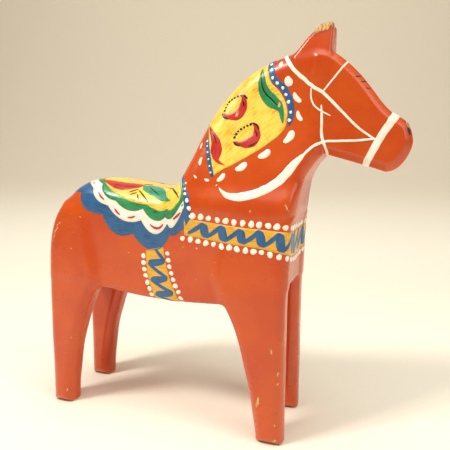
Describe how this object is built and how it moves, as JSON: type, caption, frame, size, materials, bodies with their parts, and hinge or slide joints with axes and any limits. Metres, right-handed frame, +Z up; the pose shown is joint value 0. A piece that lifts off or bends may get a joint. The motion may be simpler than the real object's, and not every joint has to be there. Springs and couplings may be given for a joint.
{
  "type": "dala horse",
  "caption": "Carved wooden folk horse with an arched neck and straight legs, painted orange-red with saddle, bridle and bands; a standing ornament, stave-built.",
  "frame": {"origin": "on the floor, under the middle of the horse's overall length and width", "axes": "+X towards the nose, +Y towards the horse's left side, +Z up from the soles to the ears"},
  "size_m": [0.284, 0.076, 0.3],
  "materials": {
    "enamel_red": "pine under gloss orange-red enamel, worn through to bare wood at edges",
    "paint_blue": "brushed blue enamel",
    "paint_white": "brushed cream-white enamel",
    "paint_yellow": "brushed yellow enamel",
    "paint_green": "brushed green enamel",
    "paint_red": "brushed crimson enamel",
    "paint_black": "brushed black enamel",
    "bare_wood": "dry bare pine where the enamel has chipped off"
  },
  "bodies": {
    "root": {"core_head_neck": "enamel_red", "core_croup": "enamel_red", "left_fore_leg_stave": "enamel_red", "left_hind_leg_stave": "enamel_red", "right_fore_leg_stave": "enamel_red", "right_hind_leg_stave": "enamel_red"}
  },
  "joints": []
}
